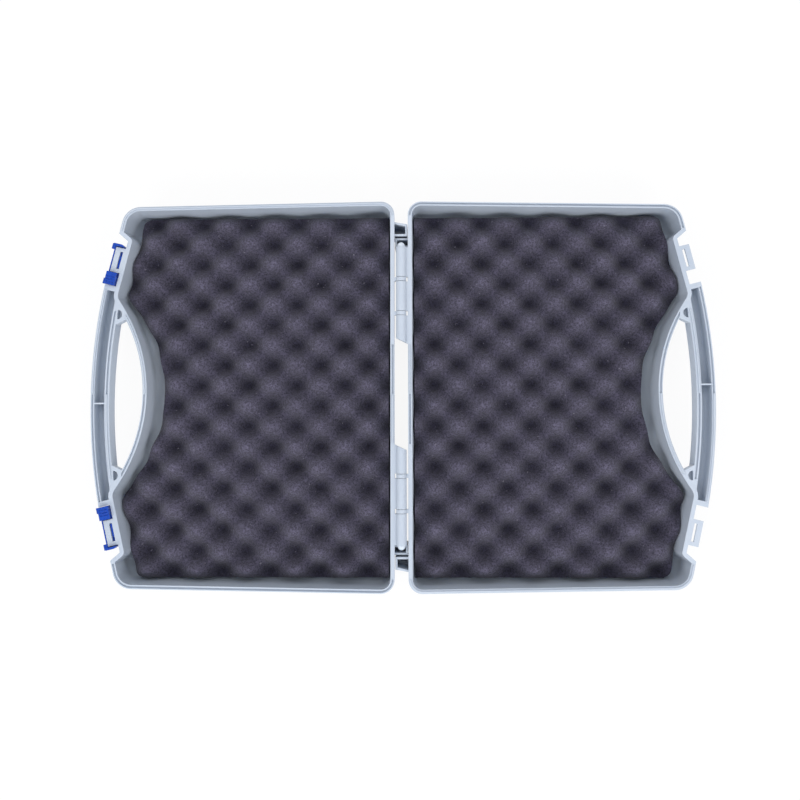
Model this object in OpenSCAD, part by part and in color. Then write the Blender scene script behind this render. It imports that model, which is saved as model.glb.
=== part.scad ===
// Small clinic carry case, lying open flat on its two shells.
// Both shells are the same moulding; the base is the lid turned half a turn about Z.
// Origin: on the floor, midway between the shells. +X towards the lid's handle, +Z up.

/* [Shell] */
// Length of a shell along the hinge
case_l = 340.2; // [325:0.1:360]
// Hinge axis to the outer face of the handle
case_reach = 271.5; // [262:0.1:290]
// Depth of one shell, rim to floor
shell_h = 41.5; // [38:0.5:50]
// Wall and floor thickness
wall = 2.6; // [2.2:0.1:3]
// Width of the flat rim
rim_w = 3.6; // [3.4:0.1:4.2]
// Height of the thicker band under the rim
band_h = 5; // [4:0.5:7]
// Draft angle of the walls
draft = 2; // [1:0.5:3]
// Narrowing of the ends towards the handle, in degrees
end_taper = 0.96; // [0:0.01:1.5]
// Outer radius between wall and floor
floor_r = 14; // [10:0.5:15]
// Corner radius on the hinge side
hinge_corner_r = 12; // [8:0.5:14]
// Corner radius on the handle side
far_corner_r = 16.5; // [12:0.5:18]

/* [Seam] */
// Height of the tongue
tongue_h = 1.3; // [1:0.1:1.6]
// Thickness of the tongue
tongue_w = 0.9; // [0.8:0.1:1]
// Rim left outside the groove
lip = 0.9; // [0.8:0.1:1]
// Clearance beside the tongue
seam_fit = 0.3; // [0.25:0.05:0.35]
// Extra depth of the groove below the tongue
groove_spare = 0.4; // [0.3:0.1:0.6]
// Gap between the two rims when closed
rim_gap = 0.3; // [0.2:0.05:0.5]

/* [Handle] */
// Width of the handle
handle_w = 16.2; // [14:0.1:18]
// Depth of one handle half
handle_h = 20; // [14:0.5:22]
// Radius of the handle's outer face
handle_r = 496; // [400:1:600]
// Radius of the handle's lower edge beside the hand hole
grip_r_in = 4; // [2:0.5:5]
// Radius of the handle's lower outer edge
grip_r_out = 9; // [6:0.5:10]
// Thickness of the handle's skin
skin = 3.2; // [3.1:0.1:3.6]
// Thickness of the rib beside the hand hole
rib_w = 4.2; // [4:0.1:5]
// Width of the hand hole at its middle
hole_w = 29.3; // [26:0.1:33]
// Radius of the hand hole on the shell side
hole_r = 139; // [130:1:150]
// Angle from the middle of the hole to the end of that arc
hole_angle = 33; // [31:0.5:34]
// Depth of the webs that close the ends of the hole
web_h = 10; // [6:0.5:12]
// Length of each web along the handle
web_l = 19; // [16:0.5:22]
// Radius of the pocket in each web
pocket_r = 4.2; // [3:0.1:4.4]
// Depth of that pocket
pocket_d = 6; // [3:0.5:7]
// Middle of the case to the thin rib across the channel
cross_y = 7.8; // [0:0.1:20]
// Thickness of that rib
cross_w = 1.3; // [1:0.1:2]

/* [Latch] */
// Tilt of the recess wall that carries the latch
tilt = 13.5; // [11:0.5:15]
// Length of the corner block beside the recess
corner_block = 27.6; // [25:0.1:30]
// Handle's outer face to the corner block
corner_setback = 21.1; // [20:0.1:23]
// Depth of the recess
recess_d = 9.5; // [9:0.1:10.5]
// Slant of the recess's end
recess_slant = 4.9; // [4:0.1:5.5]
// Length of the bracket that the latch grips
bracket_l = 22.4; // [20:0.1:24]
// How far the bracket stands out
bracket_d = 8.7; // [8:0.1:9]
// Thickness of the bracket
bracket_h = 2.5; // [2:0.1:4.5]
// Bracket to the corner of the recess
bracket_gap = 7.1; // [7:0.1:8]
// Length of the slot in the bracket
slot_l = 15.6; // [14:0.1:17]
// Width of that slot
slot_w = 2.5; // [2.2:0.1:2.8]
// Shell wall to the slot
slot_in = 1.6; // [1.4:0.1:2]
// Travel of the latch
latch_travel = 3.5; // [3:0.1:3.6]
// Length of the latch
latch_l = 36.9; // [35:0.1:39]
// Thickness of the latch's face
latch_face = 1.1; // [1:0.1:1.6]
// Thickness of the latch's claws and underside
latch_plate = 1.4; // [1.2:0.1:2.6]
// Running gap round the latch
latch_fit = 0.3; // [0.25:0.05:0.35]
// Length of the long claw, on the handle side
claw_l = 11.3; // [10.8:0.1:11.3]
// Length of the short claw, on the corner side
claw_short = 2; // [1.6:0.1:2.2]
// Closed latch to the corner of the recess
latch_spare = 2.2; // [0:0.1:2.6]
// Rim to the top of the face between the claws
face_drop = 0.3; // [0:0.1:1]
// Rim to the top of the guide rib in the slot
rib_drop = 1.2; // [0.5:0.1:1.5]
// How far the thumb lugs stand out
lug_d = 2.6; // [1:0.1:3]
// Length of the thumb lugs
lug_l = 5; // [2:0.1:6]

/* [Hinge] */
// Hinge axis to the wall of each shell
hinge_in = 5.9; // [5.5:0.1:7]
// Radius of the hinge barrel
barrel_r = 4.5; // [4:0.1:4.8]
// Start of the barrel, from the middle of the case
barrel_from = 43.5; // [40:0.5:48]
// End of the shell to the end of the barrel
barrel_end_gap = 41.1; // [40:0.1:44]
// Slant of the barrel's inner end
barrel_slant = 5; // [3:0.5:7]
// Start of the barrel to the middle of the first ring of the other shell
ring_first = 27; // [20:0.5:30]
// Distance between the two rings
ring_step = 30; // [24:0.5:34]
// Width of each ring
ring_w = 3.4; // [3:0.1:5]
// Gap on each side of a ring
ring_fit = 0.3; // [0.2:0.05:0.5]
// Radius of the hinge pin
pin_r = 2.2; // [1.8:0.1:2.5]
// Running clearance round the pin
pin_fit = 0.05; // [0.03:0.01:0.08]
// Radius of the domed head of the pin
head_r = 3.3; // [3:0.1:3.8]
// Length of the head
head_l = 4.3; // [4:0.1:5]

/* [Feet] */
// End of the shell to the large foot
foot_large_gap = 17.6; // [16:0.1:20]
// Width of the large foot
foot_large_w = 13; // [10:0.5:14]
// End of the shell to the small foot
foot_small_gap = 32.1; // [31:0.1:34]
// Width of the small foot
foot_small_w = 8.5; // [7:0.5:8.5]
// Narrowing of the large foot towards its end
foot_taper = 2.5; // [0:0.5:4]
// Wall thickness of the feet
foot_wall = 1.8; // [1.4:0.1:2.2]
// Gap between a foot and the other shell
foot_gap = 0.5; // [0.4:0.1:1]
// Underside of the feet above the floor
foot_from = 7; // [4:0.5:12]
// Rim to the mouth of the large foot
foot_drop = 3; // [2:0.5:5]
// Rim to the mouth of the small foot, which clears the pin's head
foot_small_drop = 5.5; // [5:0.5:8]

/* [Foam] */
// Thickness of the foam at its peaks
foam_t = 30; // [25:1:32]
// Depth of the hollows
foam_depth = 20; // [14:1:20]
// Distance from a peak to the next hollow, across the case
foam_px = 21.45; // [18:0.05:25]
// Distance from a peak to the next hollow, along the hinge
foam_py = 18.13; // [15:0.01:22]
// One hollow of the lid's foam
foam_hollow = [29.15, 118.1];
// Rim to the foam beside the hinge
foam_hinge_gap = 1.9; // [1.5:0.1:4]
// Rim to the foam at the two ends
foam_end_gap = 6.3; // [4:0.1:8]
// Recess wall to the foam
foam_side_gap = 6.5; // [6:0.1:9]
// Hand-hole wall to the foam, at the middle
foam_hole_gap = 15.3; // [12:0.1:18]
// Radius of the foam's edge round the hand hole
foam_hole_r = 122; // [110:1:130]
// Corner radius of the foam
foam_corner_r = 8; // [4:1:12]
// Columns and rows of the foam's surface
foam_grid = [27, 34];
// Thickness of the double-sided tape
tape_t = 0.5; // [0.3:0.1:1]
// Width of a strip of tape
tape_w = 25; // [15:1:40]
// Length of a strip of tape
tape_l = 90; // [60:1:120]
// Hinge side of the foam to the first strips
tape_first = 38.6; // [20:0.1:60]
// Distance between the strips across the case
tape_step = 100; // [60:1:120]
// Middle of the case to the middle of each strip
tape_y = 70; // [50:1:100]

/* [Hidden] */
shell_grey = [0.74, 0.78, 0.83];
latch_blue = [0.08, 0.36, 0.76];
foam_grey = [0.24, 0.23, 0.28];
tape_white = [0.9, 0.89, 0.85];
$fn = 64;

// Heights and places that follow from the sizes above
half_l = case_l / 2;
barrel_to = half_l - barrel_end_gap;
ring_at = [barrel_from + ring_first, barrel_from + ring_first + ring_step];
foot_large = [half_l - foot_large_gap - foot_large_w, half_l - foot_large_gap];
foot_small = [half_l - foot_small_gap - foot_small_w, half_l - foot_small_gap];
axis_z = rim_gap / 2;
arc_step = 7.5;
wide_arc_step = 3;
wide_arc_r = 60;
min_r = 1;
recess_max_r = 8;
bite = 1.2;
mid_wall = 2.2;
over = 20;
inner_r = floor_r - wall;
outer_d = rim_w - wall;
out = [cos(tilt), sin(tilt)];
along = [-sin(tilt), cos(tilt)];
recess_out = [case_reach - corner_setback, half_l - corner_block];
recess_in = recess_out - recess_d * out - recess_slant * along;
hinge_corner = [hinge_in, half_l];
far_corner = meet(hinge_corner, [cos(end_taper), -sin(end_taper)], recess_out, along);
hole_x = case_reach - handle_w - hole_w;
hole_tip = [hole_x + hole_r - hole_r / cos(hole_angle), 0];
nose = meet(hole_tip, [sin(hole_angle), cos(hole_angle)], recess_in, along);
nose_r = 12;
outline = mirrored(hole_tip, hole_r, [
    [nose, nose_r], [recess_in, min_r], [recess_out, min_r],
    [far_corner, far_corner_r], [hinge_corner, hinge_corner_r]
]);
handle_x = case_reach - handle_r;
handle_in = handle_r - handle_w;

// The latch frame starts at the recess's inner corner: x along the wall, y outwards, z from the rim
bracket_end = -bracket_gap;
bracket_start = bracket_end - bracket_l;
slot_start = bracket_start + (bracket_l - slot_l) / 2;
latch_in = 0.8;
latch_taper_y = 3;
grip_n = 3;
grip_w = 1.2;
step_per_d = recess_slant / recess_d;
latch_hi = latch_taper_y * step_per_d - latch_fit - latch_travel - latch_spare;
latch_lo = latch_hi - latch_l;
latch_y = bracket_d + latch_fit;
latch_top = bracket_h + rim_gap + latch_fit + latch_plate;
latch_under = -bracket_h - latch_fit - latch_plate;
handle_end = latch_lo - latch_fit;
handle_wall = 4.5;
channel_r_in = 2;
channel_r_out = 6;
edge_steps = 5;
sweep = 30;
web_past = 4;
web_slant = 5.5;
pocket_in = 1.4;
seam_start = 0.4;
seam_corner = 12;
seam_clear = 3;
seam_ease = 0.4;
pin_end_gap = 1.5;
pin_join = 0.5;

// Foam
foam_y = half_l - rim_w - foam_end_gap - end_taper * 3;
foam_x = hinge_in + rim_w + foam_hinge_gap;
foam_mid = (foam_x + recess_in[0]) / 2;
foam_z = wall + tape_t;
foam_waist = foam_z + foam_t - foam_depth - 0.8;
foam_chamfer = inner_r - 0.4;
foam_hole_x = hole_x - foam_hole_gap;
foam_nose_r = 10;
foam_tilt = 35.6;
foam_tip = [foam_hole_x + foam_hole_r - foam_hole_r / cos(foam_tilt), 0];
foam_side = recess_in - foam_side_gap * out;
foam_nose = meet(foam_tip, [sin(foam_tilt), cos(foam_tilt)], foam_side, along);
foam_far = meet([0, foam_y], [1, 0], foam_side, along);
foam_outline = mirrored(foam_tip, foam_hole_r, [
    [foam_nose, foam_nose_r], [foam_far, foam_corner_r], [[foam_x, foam_y], min_r]
]);

function unit(v) = v / norm(v);
function left(v) = [-v[1], v[0]];
function flip(p) = [p[0], -p[1]];

// Where the line through p along u crosses the line through q along w
function meet(p, u, q, w) = p + u * cross(q - p, w) / cross(u, w);

// Corners of a closed outline from its upper half and the tip on the centre line
function mirrored(tip, tip_r, upper) =
    let (n = len(upper))
    concat(
        [[tip, tip_r]],
        upper,
        [for (i = [n - 1:-1:0]) [flip(upper[i][0]), upper[i][1]]]
    );

function before(c, i) = unit(c[i][0] - c[(i + len(c) - 1) % len(c)][0]);
function after(c, i) = unit(c[(i + 1) % len(c)][0] - c[i][0]);
function turn(c, i) = let (a = before(c, i), b = after(c, i)) atan2(cross(a, b), a * b);

// Radius of corner i once the outline has moved inwards by d
function inset_r(c, i, d) =
    turn(c, i) > 0 ? max(c[i][1] - d, min_r)
    : c[i][1] > wide_arc_r ? c[i][1] + d
    : min(c[i][1] + d, recess_max_r);

// The same corners with every edge moved inwards by d
function inset(c, d) = [
    for (i = [0:len(c) - 1])
    let (a = left(before(c, i)), b = left(after(c, i)))
    [c[i][0] + d * (a + b) / (1 + a * b), inset_r(c, i, d)]
];

function turned(v, a) = [v[0] * cos(a) - v[1] * sin(a), v[0] * sin(a) + v[1] * cos(a)];

// Points of one rounded corner
function corner_points(c, i) =
    let (
        t = turn(c, i),
        r = c[i][1],
        side = t > 0 ? 1 : -1,
        from = c[i][0] - before(c, i) * r * tan(abs(t) / 2),
        centre = from + left(before(c, i)) * r * side,
        n = ceil(abs(t) / (r > wide_arc_r ? wide_arc_step : arc_step) - 0.01)
    )
    [for (k = [0:n]) centre + turned(from - centre, t * k / n)];

function rounded(c) = [for (i = [0:len(c) - 1]) each corner_points(c, i)];

// Closed skin through rings of points, each end closed by a fan round the point above or below centre
module skin_through(rings, centre) {
    n = len(rings[0]);
    m = len(rings);
    first = m * n;
    polyhedron(
        points = concat(
            [for (r = rings) each r],
            [[centre[0], centre[1], rings[0][0][2]], [centre[0], centre[1], rings[m - 1][0][2]]]
        ),
        faces = [
            for (j = [0:m - 2], i = [0:n - 1])
            let (a = j * n + i, b = j * n + (i + 1) % n)
            each [[a, a + n, b], [b, a + n, b + n]],
            for (i = [0:n - 1])
            let (a = (m - 1) * n, k = (i + 1) % n)
            each [[first, i, k], [first + 1, a + k, a + i]]
        ]
    );
}

function ring_at_level(d, z) = [for (p = rounded(inset(outline, d))) [p[0], p[1], z]];

// Inset of the outer and the inner face of the wall at height z
function outer_at(z) = outer_d + (shell_h - band_h - 1 - z) * tan(draft);
function inner_at(z) = rim_w + (shell_h - z) * tan(draft);

module flat_outline(d) {
    polygon(rounded(inset(outline, d)));
}

// Tray: from the middle of its underside, up the outside, over the rim and down to the middle of its floor
module tray() {
    arc = [0, 22.5, 45, 67.5, 90];
    skin_through(concat(
        [for (a = [90, 67.5, 45, 22.5, 0])
            ring_at_level(outer_at(floor_r) + floor_r * (1 - cos(a)), floor_r * (1 - sin(a)))],
        [ring_at_level(outer_at(shell_h - band_h - 1), shell_h - band_h - 1)],
        [ring_at_level(0, shell_h - band_h), ring_at_level(0, shell_h)],
        [ring_at_level(rim_w, shell_h)],
        [for (a = arc)
            ring_at_level(inner_at(floor_r) + inner_r * (1 - cos(a)), wall + inner_r * (1 - sin(a)))]
    ), [hinge_in + floor_r * 2.5, 0]);
}

// Quarter of a circle about c, from angle a
function quarter(c, r, a) = [for (k = [0:edge_steps]) let (t = a + 90 * k / edge_steps) c + r * [cos(t), sin(t)]];

// Section of the handle: w wide from x, h deep and up to top, with rounded lower edges
module trough(x, w, h, r_in, r_out, top) {
    polygon(concat(
        [[x + w, top], [x, top]],
        quarter([x + r_in, r_in - h], r_in, 180),
        quarter([x + w - r_out, r_out - h], r_out, 270)
    ));
}

// Region of the handle between its two ends, moved inwards by d
module between_ends(d) {
    e = recess_in + (handle_end - d) * along;
    a = e - over * out;
    b = e + over * out;
    polygon([a, flip(a), flip(b), b]);
}

// The section swept along the handle, with its two ends moved inwards by d
module handle_sweep(d) {
    intersection() {
        translate([handle_x, 0, shell_h])
            rotate([0, 0, -sweep / 2]) rotate_extrude(angle = sweep, $fn = 96) children();
        translate([0, 0, shell_h - handle_h - 1]) linear_extrude(handle_h + 3) between_ends(d);
    }
}

// One web at the end of the hand hole, with its D-shaped pocket
module hole_web() {
    y_far = hole_r * sin(hole_angle) + web_past;
    y_near = y_far - web_l;
    rib_x = handle_x + handle_in * cos(asin(y_near / handle_in));
    wall_y = y_near + web_slant;
    wall_x = hole_x + hole_r * (1 - cos(asin(wall_y / hole_r)));
    pocket_y = y_near + web_l / 2;
    difference() {
        translate([0, 0, shell_h - web_h]) linear_extrude(web_h) polygon([
            [rib_x + bite, y_near], [rib_x + bite, y_far + web_slant],
            [rib_x - rib_w, y_far + web_slant], [wall_x - bite, wall_y]
        ]);
        translate([0, 0, shell_h - pocket_d]) linear_extrude(pocket_d + 1) intersection() {
            translate([rib_x - pocket_in, pocket_y]) circle(pocket_r);
            translate([rib_x - pocket_in - 2 * pocket_r, pocket_y - pocket_r])
                square(2 * pocket_r);
        }
    }
}

// Thin rib across the channel of the handle, cut off inside the handle's rounded edge
module cross_rib() {
    near_x = case_reach - handle_w + rib_w / 2;
    far_x = case_reach - skin / 2;
    low = shell_h - handle_h + skin / 2;
    cut = grip_r_out - skin;
    translate([0, cross_y + cross_w / 2, 0]) rotate([90, 0, 0])
        linear_extrude(cross_w) polygon([
            [near_x, low], [far_x - cut, low], [far_x, low + cut], [far_x, shell_h], [near_x, shell_h]
        ]);
}

module handle() {
    difference() {
        union() {
            difference() {
                handle_sweep(0) trough(handle_in, handle_w, handle_h, grip_r_in, grip_r_out, 0);
                handle_sweep(handle_wall) trough(
                    handle_in + rib_w, handle_w - rib_w - skin, handle_h - skin,
                    channel_r_in, channel_r_out, 1
                );
            }
            hole_web();
            mirror([0, 1, 0]) hole_web();
            cross_rib();
        }
        translate([0, 0, -1]) linear_extrude(shell_h + 2) flat_outline(mid_wall);
    }
}

// Places a piece in the latch frame, on the upper or the lower side
module at_latch(side) {
    mirror([0, side < 0 ? 1 : 0, 0])
        translate([recess_in[0], recess_in[1], shell_h])
            rotate([0, 0, 90 + tilt]) mirror([0, 1, 0]) children();
}

module bracket() {
    difference() {
        translate([bracket_start, -bite, -bracket_h]) cube([bracket_l, bracket_d + bite, bracket_h]);
        translate([slot_start, slot_in, -bracket_h - 1]) cube([slot_l, slot_w, bracket_h + 2]);
    }
}

// Outline of the seam, with corners a little rounder than the rim's, so that no two of their points meet
module seam_outline(d) {
    polygon(rounded([for (c = inset(outline, d)) [c[0], c[1] + seam_ease]]));
}

// Strip of the rim, w wide, between two insets of the outline
module rim_strip(w) {
    d = lip + seam_fit - (w - tongue_w) / 2;
    difference() {
        seam_outline(d);
        seam_outline(d + w);
    }
}

// Strip along the handle, w wide, with its middle at radius r
module handle_strip(r, w) {
    difference() {
        translate([handle_x, 0]) circle(r + w / 2, $fn = 96);
        translate([handle_x, 0]) circle(r - w / 2, $fn = 96);
    }
}

// Rectangle from one corner to the other, grown by g
module region(from, to, g) {
    translate(from - [g, g]) square(to - from + 2 * [g, g]);
}

// Seam on the upper half: ends, far corner, hand hole and the handle's outer edge
module outer_seam(w) {
    g = (w - tongue_w) / 2;
    intersection() {
        rim_strip(w);
        union() {
            region([0, half_l - seam_corner], [case_reach, half_l + over], g);
            region([half_l, recess_out[1] + seam_clear], [case_reach, half_l], g);
            region([hole_x - rim_w, seam_start], [nose[0] - seam_corner, nose[1] - seam_corner], g);
        }
    }
    intersection() {
        handle_strip(handle_r - lip - seam_fit - tongue_w / 2, w);
        region([hole_x, seam_start], [case_reach + 1, half_l], g);
        between_ends(handle_wall - g);
    }
}

// Seam on the lower half: the hinge side and the rib beside the hand hole
module inner_seam(w) {
    g = (w - tongue_w) / 2;
    mirror([0, 1, 0]) {
        intersection() {
            rim_strip(w);
            region([0, seam_start], [hinge_in + rim_w + 1, barrel_from - 2 * seam_start], g);
        }
        intersection() {
            handle_strip(handle_in + rib_w / 2, w);
            region([hole_x, seam_start], [case_reach, nose[1] - seam_corner], g);
        }
    }
}

module groove() {
    depth = tongue_h + groove_spare;
    translate([0, 0, shell_h - depth]) linear_extrude(depth + 1) {
        outer_seam(tongue_w + 2 * seam_fit);
        inner_seam(tongue_w + 2 * seam_fit);
    }
}

module tongue() {
    mirror([0, 1, 0]) translate([0, 0, shell_h - bite]) linear_extrude(tongue_h + bite) {
        outer_seam(tongue_w);
        inner_seam(tongue_w);
    }
}

// Cylinder along Y on the hinge axis
module on_axis(r, from, to) {
    translate([0, to, shell_h + axis_z]) rotate([90, 0, 0]) cylinder(r = r, h = to - from);
}

// Barrel that this moulding carries on its upper half
module barrel() {
    difference() {
        union() {
            on_axis(barrel_r, barrel_from, barrel_to);
            translate([0, barrel_from, shell_h + axis_z - barrel_r])
                cube([hinge_in + mid_wall, barrel_to - barrel_from, barrel_r - axis_z]);
        }
        translate([0, 0, shell_h - barrel_r * 2]) linear_extrude(barrel_r * 4) polygon([
            [hinge_in, barrel_from], [-barrel_r, barrel_from + barrel_slant],
            [-barrel_r - 1, barrel_from + barrel_slant], [-barrel_r - 1, barrel_from - 1],
            [hinge_in, barrel_from - 1]
        ]);
        for (y = ring_at)
            translate([-barrel_r - 1, y - ring_w / 2 - ring_fit, shell_h - barrel_r * 2])
                cube([hinge_in + barrel_r + 0.8, ring_w + 2 * ring_fit, barrel_r * 4]);
    }
}

// Rings of the lower half, which run in the other shell's barrel
module rings() {
    for (y = ring_at) {
        on_axis(barrel_r, -y - ring_w / 2, -y + ring_w / 2);
        translate([0, -y - ring_w / 2, shell_h + axis_z - barrel_r])
            cube([hinge_in + mid_wall, ring_w, barrel_r - axis_z]);
    }
}

module pin_bores() {
    bore_from = barrel_from + barrel_slant + pin_end_gap - pin_join;
    on_axis(pin_r + pin_fit, bore_from, barrel_to + 1);
    for (y = ring_at)
        on_axis(pin_r + pin_fit, -y - ring_w, -y + ring_w);
}

// Hollow foot between y_near and y_far, open upwards
module foot(y_near, y_far, taper, top) {
    tip_x = foot_gap - hinge_in;
    root_x = hinge_in + mid_wall;
    difference() {
        translate([0, 0, foot_from]) linear_extrude(top - foot_from) polygon([
            [root_x, y_near], [root_x, y_far], [tip_x, y_far - taper], [tip_x, y_near]
        ]);
        translate([0, 0, foot_from + foot_wall]) linear_extrude(top) polygon([
            [hinge_in + outer_d, y_near + foot_wall], [hinge_in + outer_d, y_far - foot_wall],
            [tip_x + foot_wall, y_far - taper - foot_wall], [tip_x + foot_wall, y_near + foot_wall]
        ]);
    }
}

module feet() {
    difference() {
        union() {
            mirror([0, 1, 0]) foot(foot_large[0], foot_large[1], foot_taper, shell_h - foot_drop);
            foot(foot_small[0], foot_small[1], 0, shell_h - foot_small_drop);
        }
        translate([0, 0, floor_r]) linear_extrude(shell_h) flat_outline(mid_wall + draft);
    }
}

module moulding() {
    color(shell_grey) difference() {
        union() {
            tray();
            handle();
            at_latch(1) bracket();
            at_latch(-1) bracket();
            feet();
            barrel();
            rings();
            tongue();
        }
        groove();
        pin_bores();
    }
}

// Sliding latch in the latch frame, at its open place
module latch() {
    outer_y = latch_y + latch_face;
    plate_d = outer_y - latch_in;
    block_l = bracket_start - latch_travel - latch_fit - latch_lo;
    claw_z = bracket_h + rim_gap + latch_fit;
    claw_x = latch_hi - claw_short;
    short_in = latch_in * step_per_d - latch_fit - latch_travel - latch_spare;
    rib_l = slot_l - latch_travel - 2 * latch_fit;
    rib_top = min(-rib_drop, -latch_fit);
    color(latch_blue) difference() {
        union() {
            translate([latch_lo, latch_y, latch_under])
                cube([latch_l, latch_face, -face_drop - latch_under]);
            translate([latch_lo, latch_in, latch_under]) cube([latch_l - claw_short, plate_d, latch_plate]);
            translate([latch_lo, latch_in, latch_under]) cube([block_l, plate_d, latch_top - latch_under]);
            translate([latch_lo, latch_in, claw_z]) cube([claw_l, plate_d, latch_plate]);
            translate([latch_lo, latch_y, latch_under]) cube([claw_l, latch_face, latch_top - latch_under]);
            translate([0, 0, latch_under]) linear_extrude(latch_top - latch_under) polygon([
                [claw_x, latch_in], [short_in, latch_in], [latch_hi, latch_taper_y],
                [latch_hi, outer_y], [claw_x, outer_y]
            ]);
            translate([slot_start + latch_fit, slot_in + latch_fit, latch_under])
                cube([rib_l, slot_w - 2 * latch_fit, rib_top - latch_under]);
            for (x = [latch_lo, latch_hi - lug_l])
                translate([x, latch_y, latch_under])
                    cube([lug_l, latch_face + lug_d, -face_drop - latch_under]);
        }
        for (k = [0:grip_n - 1])
            translate([latch_lo + grip_w * (2 * k + 1.5), latch_in + grip_w, latch_top - grip_w / 2])
                cube([grip_w, plate_d - 2 * grip_w, grip_w]);
    }
}

module hinge_pin() {
    dome_y = barrel_to + head_l - head_r;
    color(shell_grey) {
        on_axis(pin_r, barrel_from + barrel_slant + pin_end_gap, barrel_to + pin_join);
        on_axis(head_r, barrel_to, dome_y);
        intersection() {
            translate([0, dome_y, shell_h + axis_z]) sphere(head_r);
            on_axis(head_r + 1, barrel_to + pin_join / 2, barrel_to + head_l + 1);
        }
    }
}

// Handle side of the foam: its points in order of y, with the outline moved inwards by d
function foam_edge(d) =
    let (far = [for (p = rounded(inset(foam_outline, d))) if (p[0] > foam_mid) [p[1], p[0]]])
    concat([for (p = far) if (p[0] < 0) p], [for (p = far) if (p[0] >= 0) p]);

// Height of the foam above its underside at a point of the plan
function foam_top(x, y) =
    foam_t - foam_depth / 2
    - foam_depth / 2 * cos(180 * (x - foam_hollow[0]) / foam_px) * cos(180 * (y - foam_hollow[1]) / foam_py);

module foam() {
    nx = foam_grid[0];
    ny = foam_grid[1];
    side = foam_edge(0);
    foot_side = foam_edge(foam_chamfer);
    function plan(i, j, edge, d) =
        let (y = (foam_y - d) * (2 * j / ny - 1), x0 = foam_x + d)
        [x0 + (lookup(y, edge) - x0) * i / nx, y];
    top = [
        for (j = [0:ny], i = [0:nx])
        let (p = plan(i, j, side, 0)) [p[0], p[1], foam_z + foam_top(p[0], p[1])]
    ];
    rim_ij = concat(
        [for (i = [0:nx - 1]) [i, 0]], [for (j = [0:ny - 1]) [nx, j]],
        [for (i = [nx:-1:1]) [i, ny]], [for (j = [ny:-1:1]) [0, j]]
    );
    n = len(rim_ij);
    waist = [for (g = rim_ij) let (p = plan(g[0], g[1], side, 0)) [p[0], p[1], foam_waist]];
    under = [for (g = rim_ij) let (p = plan(g[0], g[1], foot_side, foam_chamfer)) [p[0], p[1], foam_z]];
    at_top = [for (g = rim_ij) g[1] * (nx + 1) + g[0]];
    w0 = len(top);
    u0 = w0 + n;
    // Left and right end of row j on the underside
    function left_of(j) = u0 + (j == 0 ? 0 : n - j);
    function right_of(j) = u0 + nx + j;
    color(foam_grey) polyhedron(
        points = concat(top, waist, under),
        faces = concat(
            [for (j = [0:ny - 1], i = [0:nx - 1]) let (a = j * (nx + 1) + i, b = a + nx + 1)
                each [[a, b, a + 1], [a + 1, b, b + 1]]],
            [for (k = [0:n - 1]) let (l = (k + 1) % n)
                each [[at_top[k], at_top[l], w0 + k], [at_top[l], w0 + l, w0 + k],
                    [w0 + k, w0 + l, u0 + k], [w0 + l, u0 + l, u0 + k]]],
            [for (j = [1:ny - 2])
                each [[left_of(j), right_of(j), left_of(j + 1)],
                    [right_of(j), right_of(j + 1), left_of(j + 1)]]],
            [for (i = [0:nx - 1]) [left_of(1), u0 + i, u0 + i + 1]],
            [[left_of(1), right_of(0), right_of(1)]],
            [for (i = [0:nx - 1]) [right_of(ny - 1), u0 + nx + ny + i, u0 + nx + ny + i + 1]],
            [[right_of(ny - 1), left_of(ny), left_of(ny - 1)]]
        )
    );
}

module tape() {
    color(tape_white) for (k = [0, 1], side = [-1, 1])
        translate([foam_x + tape_first + k * tape_step, side * tape_y - tape_l / 2, wall])
            cube([tape_w, tape_l, tape_t]);
}

module as_base() {
    rotate([0, 0, 180]) children();
}

as_base() moulding();  // base_shell
moulding();  // lid_shell
as_base() at_latch(-1) latch();  // upper_latch
as_base() at_latch(1) latch();  // lower_latch
hinge_pin();  // upper_hinge_pin
as_base() hinge_pin();  // lower_hinge_pin
as_base() foam();  // base_foam
foam();  // lid_foam
as_base() tape();  // base_foam_tape
tape();  // lid_foam_tape
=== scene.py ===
# %% [markdown]
# # A small instrument case, lying open
# The real thing is a hinged case of pale grey polypropylene, about 340 mm long, with half of the carrying
# handle on each shell, two blue sliding latches and a pad of egg-crate foam in each half.
# The CAD model gives every size. This lesson dresses it: smooth mouldings, soft foam, real plastics.

# %% Load the frame
import math

import bmesh
import bpy
import numpy as np
from mathutils import Matrix, Vector


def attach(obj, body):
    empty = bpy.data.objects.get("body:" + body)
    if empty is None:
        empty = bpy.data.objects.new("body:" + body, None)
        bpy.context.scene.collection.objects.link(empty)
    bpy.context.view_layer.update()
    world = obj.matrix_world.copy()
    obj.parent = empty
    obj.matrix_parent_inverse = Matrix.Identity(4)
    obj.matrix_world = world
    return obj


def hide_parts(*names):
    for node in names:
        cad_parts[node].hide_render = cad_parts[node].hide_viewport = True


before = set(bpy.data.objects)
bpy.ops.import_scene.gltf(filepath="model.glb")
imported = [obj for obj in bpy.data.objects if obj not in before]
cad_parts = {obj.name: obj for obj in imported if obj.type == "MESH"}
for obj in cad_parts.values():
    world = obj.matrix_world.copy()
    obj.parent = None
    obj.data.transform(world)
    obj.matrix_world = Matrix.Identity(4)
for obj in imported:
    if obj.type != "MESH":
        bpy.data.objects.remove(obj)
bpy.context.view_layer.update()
MM = 0.001
print("nodes:", sorted(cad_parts))

# %% [markdown]
# ## The camera
# The photograph was taken from almost straight above, about 0.9 m up, and the picture was then cut so that
# the lens's own axis falls above the middle. A camera shift does the same without bending the perspective.

# %% Camera
IMAGE_PX = 800
FOCAL_PX = 1000
SENSOR_MM = 36
AXIS_ROW_PX = 315.5
CAMERA_AT = Vector((16.19, -20.79, 912.3)) * MM
PITCH, YAW, ROLL = 0.1021, 0.01969, -0.00351

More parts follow.
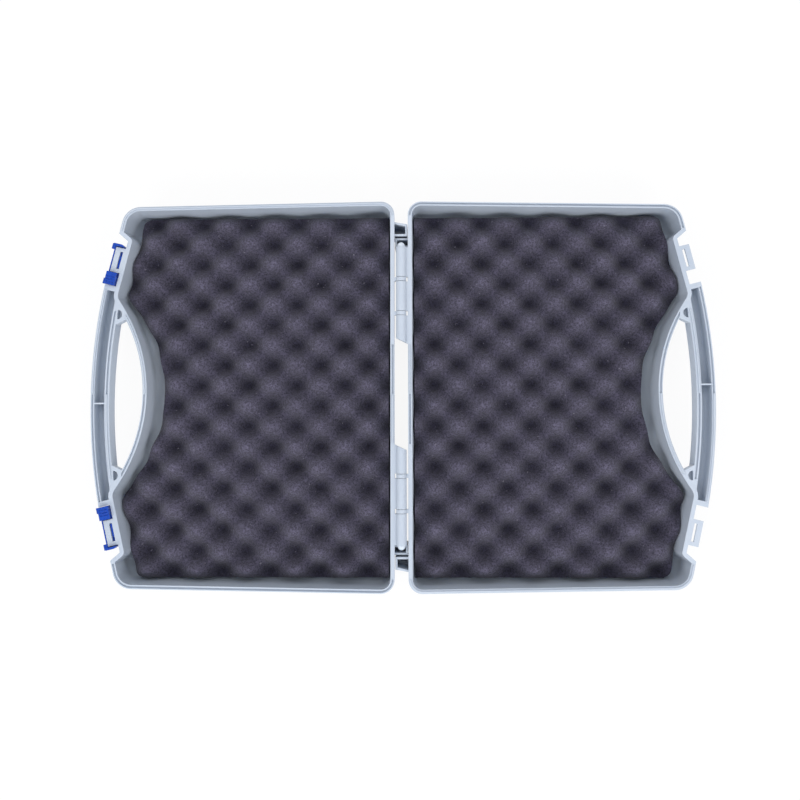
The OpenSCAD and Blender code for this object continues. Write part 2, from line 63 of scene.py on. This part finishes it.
lens = bpy.data.cameras.new("overhead_camera")
lens.sensor_width = SENSOR_MM
lens.lens = SENSOR_MM * FOCAL_PX / IMAGE_PX
lens.shift_y = (AXIS_ROW_PX - IMAGE_PX / 2) / IMAGE_PX
camera = bpy.data.objects.new("overhead_camera", lens)
bpy.context.scene.collection.objects.link(camera)
turn = Matrix.Rotation(PITCH, 4, "X") @ Matrix.Rotation(YAW, 4, "Y") @ Matrix.Rotation(ROLL, 4, "Z")
camera.matrix_world = Matrix.Translation(CAMERA_AT) @ turn
bpy.context.scene.camera = camera
bpy.context.scene.view_settings.view_transform = "Standard"
print("lens", round(lens.lens, 2), "mm, shift", round(lens.shift_y, 4))

# %% [markdown]
# ## Small helpers for shading
# Colours are written as they look on a screen, in hex, and one function turns them to the linear values
# that a shader wants. One more function adds a node, sets it and links it in a single line.

# %% Colour and node helpers


def colour(hex_code):
    channels = [int(hex_code[i:i + 2], 16) / 255 for i in (1, 3, 5)]
    linear = [c / 12.92 if c <= 0.04045 else ((c + 0.055) / 1.055) ** 2.4 for c in channels]
    return (*linear, 1.0)


def add(tree, kind, settings=None, **inputs):
    """Adds a node. settings are its own options; inputs are values, or sockets to link from."""
    node = tree.nodes.new("ShaderNode" + kind)
    for name, value in (settings or {}).items():
        setattr(node, name, value)
    for name, value in inputs.items():
        key = int(name[1:]) if name[0] == "_" else name.replace("_", " ")
        socket = node.inputs[key]
        if isinstance(value, bpy.types.NodeSocket):
            tree.links.new(value, socket)
        else:
            socket.default_value = value
    return node


def new_material(name):
    made = bpy.data.materials.new(name)
    made.use_nodes = True
    made.node_tree.nodes.clear()
    return made, made.node_tree


def per_mm(size):
    """Texture scale that repeats a pattern about every size millimetres of a piece in metres."""
    return 1 / (size * MM)


print("mid grey is", [round(c, 3) for c in colour("#808080")])

# %% [markdown]
# ## Floor and light
# The case lies on a white table under wide soft light, with hardly a shadow. The floor is white paint. The
# camera sees most of it as plain white, and the rest keeps the soft shadow under the case. Gloss and clear
# pieces see the same white, so reflections match the picture. An even sky gives most of the light, and
# three soft boxes, two in front and one above, shape it.

# %% Floor
FLOOR_HALF = 4.0
FLOOR_DROP = 0.2 * MM       # just under the case, so that the two faces don't lie in one plane
SHADOW_SHARE = 0.1

bpy.ops.object.select_all(action="DESELECT")
bpy.ops.mesh.primitive_plane_add(size=2 * FLOOR_HALF, location=(0, 0, 0))
floor = bpy.context.active_object
floor.name = "floor"
floor.location.z = -FLOOR_DROP
painted, tree = new_material("white_painted_table")
path = add(tree, "LightPath")
seen = add(tree, "Math", {"operation": "MAXIMUM"}, _0=path.outputs["Is Camera Ray"],
           _1=path.outputs["Is Glossy Ray"])
seen = add(tree, "Math", {"operation": "MAXIMUM"}, _0=seen.outputs[0],
           _1=path.outputs["Is Transmission Ray"])
share = add(tree, "Math", {"operation": "MULTIPLY"}, _0=seen.outputs[0], _1=1 - SHADOW_SHARE)
paint = add(tree, "BsdfDiffuse", Color=colour("#F4F4F4"))
glow = add(tree, "Emission", Color=colour("#FFFFFF"), Strength=1.0)
mix = add(tree, "MixShader", _0=share.outputs[0], _1=paint.outputs[0], _2=glow.outputs[0])
add(tree, "OutputMaterial", Surface=mix.outputs[0])
floor.data.materials.append(painted)

# %% Light
SKY = 0.88
LAMP_SIZE = 0.9
LAMPS = {"soft_box_left": ((-0.9, -1.2, 1.3), 10), "soft_box_right": ((0.9, -1.2, 1.3), 10),
         "soft_box_above": ((0.0, 0.5, 1.6), 5)}

world = bpy.data.worlds.new("white_room")
world.use_nodes = True
tree = world.node_tree
tree.nodes.clear()
path = add(tree, "LightPath")
seen = add(tree, "Math", {"operation": "MAXIMUM"}, _0=path.outputs["Is Camera Ray"],
           _1=path.outputs["Is Transmission Ray"])
level = add(tree, "MapRange", Value=seen.outputs[0], To_Min=SKY, To_Max=1.0)
sky = add(tree, "Background", Color=colour("#FBFCFF"), Strength=level.outputs[0])
add(tree, "OutputWorld", Surface=sky.outputs[0])
bpy.context.scene.world = world

for name, (place, watts) in LAMPS.items():
    lamp = bpy.data.lights.new(name, "AREA")
    lamp.shape = "SQUARE"
    lamp.size = LAMP_SIZE
    lamp.energy = watts
    holder = bpy.data.objects.new(name, lamp)
    bpy.context.scene.collection.objects.link(holder)
    at = Vector(place)
    holder.matrix_world = Matrix.Translation(at) @ at.to_track_quat("Z", "Y").to_matrix().to_4x4()
    print(name, "at", place)

# %% [markdown]
# ## Shell plastic
# The shells are injection-moulded polypropylene. It is a little milky, so light goes a millimetre or two
# into it, which subsurface scattering gives, and the mould was spark-eroded, which leaves a fine even grain
# and a satin sheen. The melt cools unevenly, so the tone drifts slightly over a hand's breadth, and handling
# leaves faint smoother streaks.

# %% Shell material
GRAIN_MM = 1.1          # real grain is nearer 0.3 mm, drawn coarser so that it shows
DRIFT_MM = 90
SCUFF_MM = 14
SOFT_EDGE_MM = 0.5
MILKY_MM = 2.5


def polypropylene(name, light, dark, rough):
    made, tree = new_material(name)
    place = add(tree, "TexCoord").outputs["Object"]
    drift = add(tree, "TexNoise", Vector=place, Scale=per_mm(DRIFT_MM), Detail=2.0)
    tone = add(tree, "ValToRGB", Fac=drift.outputs["Fac"])
    tone.color_ramp.elements[0].position, tone.color_ramp.elements[1].position = 0.3, 0.7
    tone.color_ramp.elements[0].color, tone.color_ramp.elements[1].color = colour(dark), colour(light)
    grain = add(tree, "TexNoise", Vector=place, Scale=per_mm(GRAIN_MM), Detail=3.0, Roughness=0.6)
    stretched = add(tree, "Mapping", Vector=place, Scale=(1.0, 0.12, 1.0), Rotation=(0, 0, 0.6))
    scuffs = add(tree, "TexNoise", Vector=stretched.outputs[0], Scale=per_mm(SCUFF_MM), Detail=6.0,
                 Roughness=0.75)
    sheen = add(tree, "MapRange", Value=scuffs.outputs["Fac"], From_Min=0.42, From_Max=0.66,
                To_Min=rough + 0.05, To_Max=rough - 0.06)
    edges = add(tree, "Bevel", {"samples": 4}, Radius=SOFT_EDGE_MM * MM)
    bump = add(tree, "Bump", Height=grain.outputs["Fac"], Strength=0.12, Distance=0.15 * MM,
               Normal=edges.outputs[0])
    shader = add(tree, "BsdfPrincipled", Base_Color=tone.outputs["Color"], IOR=1.49,
                 Roughness=sheen.outputs[0], Subsurface_Weight=0.4, Subsurface_Scale=MILKY_MM * MM,
                 Subsurface_Radius=(1.0, 1.0, 1.0), Normal=bump.outputs[0])
    add(tree, "OutputMaterial", Surface=shader.outputs[0])
    return made


shell_plastic = polypropylene("satin_grey_polypropylene", "#BAC3CF", "#B2BCC9", 0.45)
print("made", shell_plastic.name)

# %% [markdown]
# ## Pin plastic
# The hinge pins are the same plastic without colour, so they look a touch whiter and smoother than the
# shells. A smoother, lighter version of the shell's material is the honest choice.

# %% Pin material
pin_plastic = polypropylene("natural_polypropylene", "#CFD8E2", "#C6D0DC", 0.36)
print("made", pin_plastic.name)

# %% [markdown]
# ## Latch plastic
# The latches are deep blue moulded ABS, glossier than the shells because their mould was polished. The
# colour is even, so the eye reads the gloss: tight highlights, fine haze where thumbs have rubbed them.

# %% Latch material
HAZE_MM = 4
LATCH_SOFT_EDGE_MM = 0.35

latch_plastic, tree = new_material("polished_blue_abs")
place = add(tree, "TexCoord").outputs["Object"]
haze = add(tree, "TexNoise", Vector=place, Scale=per_mm(HAZE_MM), Detail=5.0, Roughness=0.65)
sheen = add(tree, "MapRange", Value=haze.outputs["Fac"], From_Min=0.35, From_Max=0.7, To_Min=0.2,
            To_Max=0.36)
tone = add(tree, "ValToRGB", Fac=haze.outputs["Fac"])
tone.color_ramp.elements[0].color, tone.color_ramp.elements[1].color = colour("#002F8C"), colour("#0048B4")
edges = add(tree, "Bevel", {"samples": 4}, Radius=LATCH_SOFT_EDGE_MM * MM)
bump = add(tree, "Bump", Height=haze.outputs["Fac"], Strength=0.05, Distance=0.1 * MM,
           Normal=edges.outputs[0])
shader = add(tree, "BsdfPrincipled", Base_Color=tone.outputs["Color"], IOR=1.53, Roughness=sheen.outputs[0],
             Specular_IOR_Level=0.3, Normal=bump.outputs[0])
add(tree, "OutputMaterial", Surface=shader.outputs[0])
print("made", latch_plastic.name)

# %% [markdown]
# ## Foam
# The pads are open-cell polyurethane foam, a dark violet grey. Millions of cell walls scatter the light, so
# it has no gloss at all. Each cut cell is painted as a dark dot with a bright rim: painted shade inside the
# cell and a painted highlight on its rim. The hollows of the cutting are painted darker than the peaks, as
# painted shade. Dust and worn cells catch light as pale specks. Cells are about 0.4 mm wide, drawn near 1.5
# mm so that they show from this distance.

# %% Foam material
CELL_MM = 1.5
SPECK_MM = 2.6
CLOUD_MM = 22
# Heights between which the painted shade of the hollows fades out. The shade is full at the low one.
HOLLOW_SHADE_LOW, HOLLOW_SHADE_HIGH = 12 * MM, 33 * MM

foam_cells, tree = new_material("open_cell_polyurethane_foam")
place = add(tree, "TexCoord").outputs["Object"]
cells = add(tree, "TexVoronoi", Vector=place, Scale=per_mm(CELL_MM), Randomness=1.0)
fuzz = add(tree, "TexNoise", Vector=place, Scale=per_mm(CELL_MM * 1.6), Detail=4.0, Roughness=0.7)
cloud = add(tree, "TexNoise", Vector=place, Scale=per_mm(CLOUD_MM), Detail=2.0)
specks = add(tree, "TexNoise", Vector=place, Scale=per_mm(SPECK_MM), Detail=2.0, Roughness=0.5)
# Painted shade: the lower the foam lies, the darker it is painted, from its own colour at the peaks to near
# black in the hollows and at the foot of the sides.
height = add(tree, "SeparateXYZ", Vector=place)
painted_hollow_shade = add(tree, "MapRange", Value=height.outputs["Z"], From_Min=HOLLOW_SHADE_LOW, From_Max=HOLLOW_SHADE_HIGH)
tone = add(tree, "ValToRGB", Fac=painted_hollow_shade.outputs[0])
tone.color_ramp.elements[0].color, tone.color_ramp.elements[1].color = colour("#1B1A27"), colour("#4B4858")
mottle = add(tree, "MapRange", Value=fuzz.outputs["Fac"], From_Min=0.3, From_Max=0.72, To_Min=0.62,
             To_Max=1.4)
patches = add(tree, "MapRange", Value=cloud.outputs["Fac"], From_Min=0.3, From_Max=0.7, To_Min=0.92,
              To_Max=1.08)
# Painted shade in the middle of each cut cell and a painted highlight on its rim.
pore_shade_and_rim_highlight = add(tree, "MapRange", Value=cells.outputs["Distance"], From_Min=0.12, From_Max=0.62, To_Min=0.5,
            To_Max=1.36)
worn = add(tree, "Math", {"operation": "MULTIPLY"}, _0=mottle.outputs[0], _1=patches.outputs[0])
both = add(tree, "Math", {"operation": "MULTIPLY"}, _0=worn.outputs[0], _1=pore_shade_and_rim_highlight.outputs[0])
body = add(tree, "VectorMath", {"operation": "SCALE"}, _0=tone.outputs["Color"], Scale=both.outputs[0])
lint = add(tree, "MapRange", Value=specks.outputs["Fac"], From_Min=0.7, From_Max=0.78, To_Min=0.0,
           To_Max=0.5)
dusted = add(tree, "Mix", {"data_type": "RGBA"}, Factor=lint.outputs[0], _6=body.outputs[0],
             _7=colour("#8C8996"))
rim = add(tree, "Bump", Height=cells.outputs["Distance"], Strength=0.5, Distance=0.5 * MM)
soft = add(tree, "Bump", Height=fuzz.outputs["Fac"], Strength=0.6, Distance=0.8 * MM, Normal=rim.outputs[0])
shader = add(tree, "BsdfPrincipled", Base_Color=dusted.outputs["Result"], Roughness=0.95,
             Specular_IOR_Level=0.15, Sheen_Weight=0.12, Sheen_Roughness=0.6, Normal=soft.outputs[0])
add(tree, "OutputMaterial", Surface=shader.outputs[0])
print("made", foam_cells.name)

# %% [markdown]
# ## Tape
# Under each pad four strips of double-sided tape hold the foam to the floor of its shell. They are woven
# with a fine scrim, which shows as a faint crossing of threads in the cream adhesive.

# %% Tape material
THREAD_MM = 1.2

scrim_tape, tree = new_material("scrim_backed_adhesive_tape")
place = add(tree, "TexCoord").outputs["Object"]
warp = add(tree, "TexWave", {"bands_direction": "X"}, Vector=place, Scale=per_mm(THREAD_MM) / 20)
weft = add(tree, "TexWave", {"bands_direction": "Y"}, Vector=place, Scale=per_mm(THREAD_MM) / 20)
threads = add(tree, "Math", {"operation": "MAXIMUM"}, _0=warp.outputs["Fac"], _1=weft.outputs["Fac"])
tone = add(tree, "ValToRGB", Fac=threads.outputs[0])
tone.color_ramp.elements[0].color, tone.color_ramp.elements[1].color = colour("#DCD6C4"), colour("#EFEBDF")
bump = add(tree, "Bump", Height=threads.outputs[0], Strength=0.3, Distance=0.1 * MM)
shader = add(tree, "BsdfPrincipled", Base_Color=tone.outputs["Color"], Roughness=0.6, Normal=bump.outputs[0])
add(tree, "OutputMaterial", Surface=shader.outputs[0])
for node in ("base_foam_tape", "lid_foam_tape"):
    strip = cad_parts[node]
    strip.data.materials.clear()
    strip.data.materials.append(scrim_tape)
print("made", scrim_tape.name)

# %% [markdown]
# ## Mouldings from the CAD solids
# A CAD mesh is loose triangles, so light breaks at every edge of it. A copy is merged, its flat regions are
# joined into whole faces, and only then is it shaded smooth wherever neighbouring faces meet at a small
# angle. Weighted normals keep the flat walls flat where they run into the rounded ones.

# %% Helper for a merged copy
SMOOTH_ANGLE = math.radians(32)
FLAT_ANGLE = math.radians(0.3)
SAME_POINT = 0.003 * MM


def only(piece):
    bpy.ops.object.select_all(action="DESELECT")
    piece.select_set(True)
    bpy.context.view_layer.objects.active = piece


def merged_copy(node, name):
    piece = bpy.data.objects.new(name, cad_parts[node].data.copy())
    bpy.context.scene.collection.objects.link(piece)
    only(piece)
    bpy.ops.mesh.customdata_custom_splitnormals_clear()
    bpy.ops.object.mode_set(mode="EDIT")
    bpy.ops.mesh.select_all(action="SELECT")
    bpy.ops.mesh.remove_doubles(threshold=SAME_POINT)
    bpy.ops.mesh.dissolve_limited(angle_limit=FLAT_ANGLE)
    bpy.ops.object.mode_set(mode="OBJECT")
    return piece


def smoothed(piece, angle):
    only(piece)
    bpy.ops.object.shade_smooth_by_angle(angle=angle)
    weighted = piece.modifiers.new("flat_walls", "WEIGHTED_NORMAL")
    weighted.keep_sharp = True
    bpy.ops.object.modifier_apply(modifier=weighted.name)


def dress(piece, body, node, material):
    piece.data.materials.clear()
    piece.data.materials.append(material)
    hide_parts(node)
    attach(piece, body)
    print(piece.name, len(piece.data.polygons), "faces")


# %% Shells
for body in ("base", "lid"):
    moulding = merged_copy(body + "_shell", body + "_moulding")
    smoothed(moulding, SMOOTH_ANGLE)
    dress(moulding, body, body + "_shell", shell_plastic)

# %% [markdown]
# ## Latches
# Each latch is a small slider with crisp planes. Its edges carry a small radius from the mould, which is
# what catches the light, so the merged copy gets a real bevel and not only a shading trick. A bevel pulls
# the corners of a face inwards, which can fold a face that goes round a slot, so such faces are cut into
# convex ones first.

# %% Latch sliders
LATCH_EDGE = 0.22 * MM
SHARP_ANGLE = math.radians(40)

for side in ("upper", "lower"):
    slider = merged_copy(side + "_latch", side + "_latch_slider")
    bpy.ops.object.mode_set(mode="EDIT")
    bpy.ops.mesh.select_all(action="SELECT")
    bpy.ops.mesh.vert_connect_concave()
    bpy.ops.object.mode_set(mode="OBJECT")
    rounded = slider.modifiers.new("moulded_edges", "BEVEL")
    rounded.width = LATCH_EDGE
    rounded.segments = 2
    rounded.limit_method = "ANGLE"
    rounded.angle_limit = SHARP_ANGLE
    bpy.ops.object.modifier_apply(modifier=rounded.name)
    smoothed(slider, SMOOTH_ANGLE)
    dress(slider, side + "_latch", side + "_latch", latch_plastic)

# %% [markdown]
# ## Hinge pins
# The pins are plain rods with a domed head, turned smooth by the mould. A merged copy shaded smooth is
# enough, since only the domes show beyond the barrels.

# %% Pins
for side, body in (("upper", "lid"), ("lower", "base")):
    pin = merged_copy(side + "_hinge_pin", side + "_pin")
    smoothed(pin, SMOOTH_ANGLE)
    dress(pin, body, side + "_hinge_pin", pin_plastic)

# %% [markdown]
# ## Egg-crate foam
# A pad is one block of foam pressed between pin rollers and split by a blade, which leaves peaks and hollows
# in a diagonal pattern. Its outline is then stamped: straight on three sides, with two slanted shoulders and
# a wide arc round the hand hole. Its rim sinks into a soft shoulder, most of all at the two straight ends.
# The pad starts as a grid, is laid out to that outline row by row, raised to the cut surface, and then its
# border is extruded down twice, the second time inwards, where the foam tucks in over the rounded foot of
# the wall.

# %% Outline of the pad
PAD_HINGE_X = 11.4
PAD_END_Y = 160.0
PAD_TIP_X = 185.4
PAD_ARC = 122.0
PAD_NOSE = (247.6, 89.434)
PAD_NOSE_R = 10.0
PAD_FAR = (232.6, PAD_END_Y)
PAD_FAR_R = 8.0
PAD_ARC_STEPS = 64
FAR_POINTS = 14         # the last points of the far corner run along the end, where x isn't one value


def arc_between(before, corner, after, radius, steps=16):
    """Points of a corner rounded to radius, between the lines to its two neighbours."""
    a, c, b = (Vector(p) for p in (before, corner, after))
    into, out = (c - a).normalized(), (b - c).normalized()
    side = 1 if into.x * out.y - into.y * out.x > 0 else -1
    angle = math.acos(max(-1, min(1, into.dot(out))))
    start = c - into * radius * math.tan(angle / 2)
    centre = start + Vector((-into.y, into.x)) * radius * side
    spoke = start - centre
    turns = [side * angle * k / steps for k in range(steps + 1)]
    return [centre + Vector((spoke.x * math.cos(t) - spoke.y * math.sin(t),
                             spoke.x * math.sin(t) + spoke.y * math.cos(t))) for t in turns]


tip, end = (PAD_TIP_X, 0.0), (PAD_HINGE_X, PAD_END_Y)
mirror_nose = (PAD_NOSE[0], -PAD_NOSE[1])
edge = [p for p in arc_between(mirror_nose, tip, PAD_NOSE, PAD_ARC, PAD_ARC_STEPS) if p.y >= 0]
edge += arc_between(tip, PAD_NOSE, PAD_FAR, PAD_NOSE_R)
edge += arc_between(PAD_NOSE, PAD_FAR, end, PAD_FAR_R)[:FAR_POINTS]
EDGE_Y = [p.y for p in edge]
EDGE_X = [p.x for p in edge]
print("outline points:", len(edge), "widest", round(max(EDGE_X), 1), "mm")

# %% Surface of the pad
HOLLOW = (29.15, 118.1)
HALF_PITCH = (21.45, 18.13)
PAD_FLOOR = 3.1
PAD_THICK = 30.0
HOLLOW_DEPTH = 20.0
WAVE_SHARE = 0.95
SHOULDER = 11.0
END_RISE, SIDE_RISE = 0.4, 0.62     # share of its full height that the rim keeps
COLUMNS, ROWS = 116, 156


def cut_height(x, y):
    """Height of the cut surface above the floor, in mm, with the small unevenness of real foam."""
    wobble = 0.05 * math.sin(x / 17.3 + y / 29.1) + 0.04 * math.sin(y / 13.7 - x / 31.9)
    across = math.cos(math.pi * (x - HOLLOW[0]) / HALF_PITCH[0])
    along = math.cos(math.pi * (y - HOLLOW[1]) / HALF_PITCH[1])
    wave = across * along * (WAVE_SHARE + wobble)
    return PAD_FLOOR + PAD_THICK - HOLLOW_DEPTH / 2 - HOLLOW_DEPTH / 2 * wave


def pad_point(u, v):
    """Place of a grid point, u across from the hinge side and v along it, both from 0 to 1."""
    y = PAD_END_Y * (2 * v - 1)
    far = float(np.interp(abs(y), EDGE_Y, EDGE_X))
    x = PAD_HINGE_X + (far - PAD_HINGE_X) * u
    from_end, from_side = min(1, (PAD_END_Y - abs(y)) / SHOULDER), min(1, (far - x) / SHOULDER)
    rise = min(END_RISE + (1 - END_RISE) * from_end * (2 - from_end),
               SIDE_RISE + (1 - SIDE_RISE) * from_side * (2 - from_side))
    low = PAD_FLOOR + PAD_THICK - HOLLOW_DEPTH
    return Vector((x, y, low + (cut_height(x, y) - low) * rise)) * MM


bpy.ops.object.select_all(action="DESELECT")
bpy.ops.mesh.primitive_grid_add(x_subdivisions=COLUMNS, y_subdivisions=ROWS, size=1, location=(0, 0, 0))
lid_pad = bpy.context.active_object
lid_pad.name = "lid_foam_pad"
for vertex in lid_pad.data.vertices:
    vertex.co = pad_point(vertex.co.x + 0.5, vertex.co.y + 0.5)
print("grid of", len(lid_pad.data.polygons), "faces")

# %% Sides and underside of the pad
WAIST = 12.3
TUCK = 11.0
TUCK_ACROSS = 2.2       # both tucks in x together, in tucks
FOAM_SMOOTH_ANGLE = math.radians(55)


def select_border(piece):
    """Selects the open edge of the piece, in edit mode."""
    shape = bmesh.from_edit_mesh(piece.data)
    for part in (*shape.verts, *shape.edges, *shape.faces):
        part.select_set(False)
    for line in shape.edges:
        if line.is_boundary:
            line.select_set(True)
    bmesh.update_edit_mesh(piece.data)


def extrude_to(piece, place):
    """Extrudes the selected edges and moves each new point to where place says."""
    bpy.ops.mesh.extrude_edges_move(TRANSFORM_OT_translate={"value": (0, 0, 0)})
    shape = bmesh.from_edit_mesh(piece.data)
    for corner in (v for v in shape.verts if v.select):
        corner.co = place(corner.co.copy())
    bmesh.update_edit_mesh(piece.data)


def waist_point(point):
    return Vector((point.x, point.y, WAIST * MM))


def foot_point(point):
    reach = (float(np.interp(abs(point.y) / MM, EDGE_Y, EDGE_X)) - PAD_HINGE_X) * MM
    across = (point.x - PAD_HINGE_X * MM) / reach
    x = (PAD_HINGE_X + TUCK) * MM + across * (reach - TUCK_ACROSS * TUCK * MM)
    return Vector((x, point.y * (1 - TUCK / PAD_END_Y), PAD_FLOOR * MM))


only(lid_pad)
bpy.ops.object.mode_set(mode="EDIT")
bpy.ops.mesh.select_mode(type="EDGE")
select_border(lid_pad)
extrude_to(lid_pad, waist_point)
extrude_to(lid_pad, foot_point)
bpy.ops.mesh.edge_face_add()
bpy.ops.mesh.select_all(action="SELECT")
bpy.ops.mesh.normals_make_consistent(inside=False)
bpy.ops.object.mode_set(mode="OBJECT")
bpy.ops.object.shade_smooth_by_angle(angle=FOAM_SMOOTH_ANGLE)
print("pad of", len(lid_pad.data.polygons), "faces")

# %% [markdown]
# The base's pad is the same cutting turned half a turn, as in the photograph, so the finished pad is copied
# with a mesh of its own and turned about the middle of the hinge.

# %% Second pad and finish
only(lid_pad)
base_pad = lid_pad.copy()
base_pad.data = lid_pad.data.copy()
base_pad.name = "base_foam_pad"
bpy.context.scene.collection.objects.link(base_pad)
only(base_pad)
base_pad.data.transform(Matrix.Rotation(math.pi, 4, "Z"))
for body, pad in (("lid", lid_pad), ("base", base_pad)):
    dress(pad, body, body + "_foam", foam_cells)
